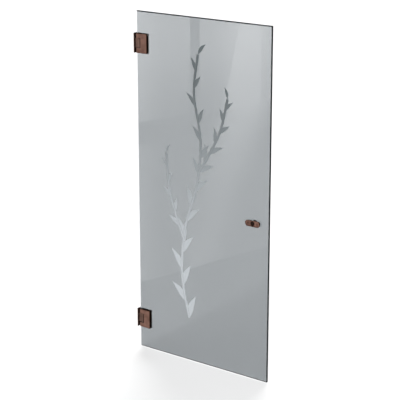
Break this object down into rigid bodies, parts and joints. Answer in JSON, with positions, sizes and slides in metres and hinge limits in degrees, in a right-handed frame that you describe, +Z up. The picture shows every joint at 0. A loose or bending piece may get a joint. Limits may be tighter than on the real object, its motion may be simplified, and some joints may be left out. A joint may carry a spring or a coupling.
{
  "type": "hinged glass door",
  "caption": "Frameless smoked-glass door leaf on bronze glass-to-wall clamp hinges, with an oval dished pull in front and a small round one behind.",
  "frame": {"origin": "centre of the wall face of the lower hinge's wall plate", "axes": "+X along the closed leaf away from the wall, -Y towards the viewer of its front, +Z up"},
  "size_m": [0.9143, 0.0425, 2],
  "materials": {
    "smoked_glass": "clear, smoke-tinted, polished edges",
    "antique_bronze": "brushed antique bronze",
    "dark_bronze": "dark oiled bronze",
    "bright_steel": "ground",
    "dark_steel": "blackened",
    "black_rubber": "matt",
    "nylon": "matt"
  },
  "bodies": {
    "wall_side": {"lower_wall_plate": "antique_bronze", "lower_knuckle": "antique_bronze", "lower_knuckle_screws": "dark_steel", "lower_bushes": "nylon", "upper_wall_plate": "antique_bronze", "upper_knuckle": "antique_bronze", "upper_knuckle_screws": "dark_steel", "upper_bushes": "nylon"},
    "leaf": {"glass_panel": "smoked_glass", "lower_pivot_pin": "bright_steel", "lower_front_clamp": "antique_bronze", "lower_back_clamp": "antique_bronze", "lower_front_gasket": "black_rubber", "lower_back_gasket": "black_rubber", "lower_clamp_screws": "dark_steel", "upper_pivot_pin": "bright_steel", "upper_front_clamp": "antique_bronze", "upper_back_clamp": "antique_bronze", "upper_front_gasket": "black_rubber", "upper_back_gasket": "black_rubber", "upper_clamp_screws": "dark_steel", "front_pull": "antique_bronze", "back_pull": "antique_bronze", "front_pull_pad": "black_rubber", "back_pull_pad": "black_rubber", "front_bolt_cap": "dark_bronze", "back_bolt_cap": "dark_bronze", "through_bolt": "bright_steel", "bolt_sleeve": "nylon"}
  },
  "joints": [
    {"name": "door_swing", "type": "hinge", "parent": "wall_side", "child": "leaf", "pos_m": [0.0303, 0, 0], "axis": [0, 0, 1], "range_deg": [-90, 90]}
  ]
}
